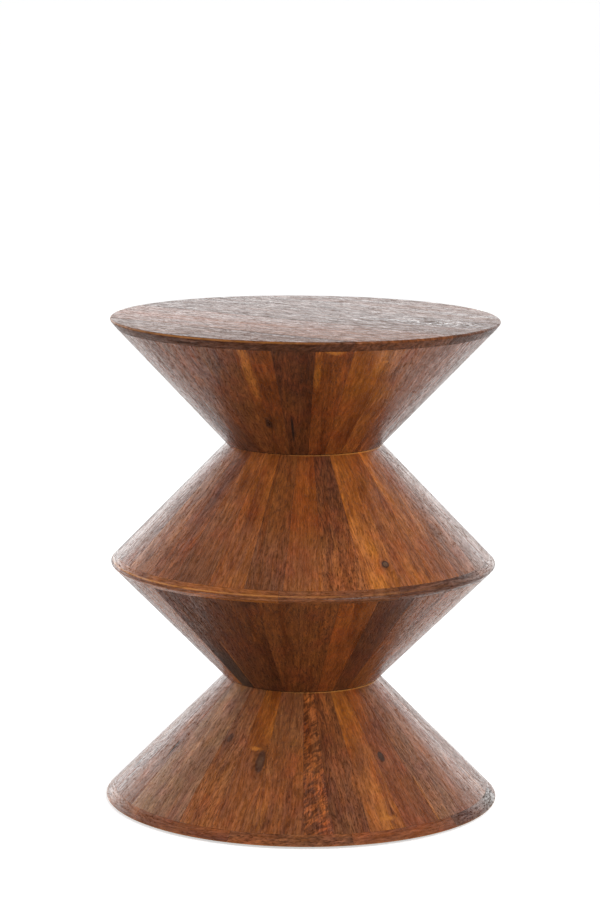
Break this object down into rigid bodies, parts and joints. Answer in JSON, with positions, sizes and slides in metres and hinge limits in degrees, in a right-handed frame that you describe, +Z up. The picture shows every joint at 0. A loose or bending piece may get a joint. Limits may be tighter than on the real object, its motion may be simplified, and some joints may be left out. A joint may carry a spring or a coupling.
{
  "type": "round side table",
  "caption": "Round side table of coopered wooden cones stacked neck to neck and rim to rim, with a flat edge-glued top, a belt ring at mid height and a ring base on felt pads.",
  "frame": {"origin": "centre of the base on the floor, at the underside of the felt pads", "axes": "+Z up the turning axis to the table top; -Y towards the front seen in the picture, +X to its right"},
  "size_m": [0.405, 0.405, 0.5],
  "materials": {
    "top_wood": "dark stained, open pored, satin lacquer",
    "top_cone_wood": "dark stained, open pored, satin lacquer",
    "upper_cone_wood": "dark stained, open pored, satin lacquer",
    "belt_wood": "dark stained, open pored, satin lacquer",
    "lower_cone_wood": "dark stained, open pored, satin lacquer",
    "base_cone_wood": "dark stained, open pored, satin lacquer",
    "base_ring_wood": "dark stained, open pored, satin lacquer",
    "plug_wood": "bare planed hardwood",
    "screw_steel": "zinc plated",
    "pad_felt": "pressed felt"
  },
  "bodies": {
    "root": {"base_cone_plug": "plug_wood", "base_cone_staves_1": "base_cone_wood", "base_cone_staves_2": "base_cone_wood", "base_cone_staves_3": "base_cone_wood", "base_ring_segment_01": "base_ring_wood", "base_ring_segment_02": "base_ring_wood", "base_ring_segment_03": "base_ring_wood", "base_ring_segment_04": "base_ring_wood", "base_ring_segment_05": "base_ring_wood", "base_ring_segment_06": "base_ring_wood", "base_ring_segment_07": "base_ring_wood", "base_ring_segment_08": "base_ring_wood", "base_ring_segment_09": "base_ring_wood", "base_ring_segment_10": "base_ring_wood", "belt_ring_segment_01": "belt_wood", "belt_ring_segment_02": "belt_wood", "belt_ring_segment_03": "belt_wood", "belt_ring_segment_04": "belt_wood", "belt_ring_segment_05": "belt_wood", "belt_ring_segment_06": "belt_wood", "belt_ring_segment_07": "belt_wood", "belt_ring_segment_08": "belt_wood", "belt_ring_segment_09": "belt_wood", "belt_ring_segment_10": "belt_wood", "felt_pads": "pad_felt", "lower_cone_plug": "plug_wood", "lower_cone_staves_1": "lower_cone_wood", "lower_cone_staves_2": "lower_cone_wood", "lower_cone_staves_3": "lower_cone_wood", "neck_screws": "screw_steel", "top_board_1": "top_wood", "top_board_2": "top_wood", "top_board_3": "top_wood", "top_board_4": "top_wood", "top_cone_plug": "plug_wood", "top_cone_staves_1": "top_cone_wood", "top_cone_staves_2": "top_cone_wood", "top_cone_staves_3": "top_cone_wood", "upper_cone_plug": "plug_wood", "upper_cone_staves_1": "upper_cone_wood", "upper_cone_staves_2": "upper_cone_wood", "upper_cone_staves_3": "upper_cone_wood"}
  },
  "joints": []
}
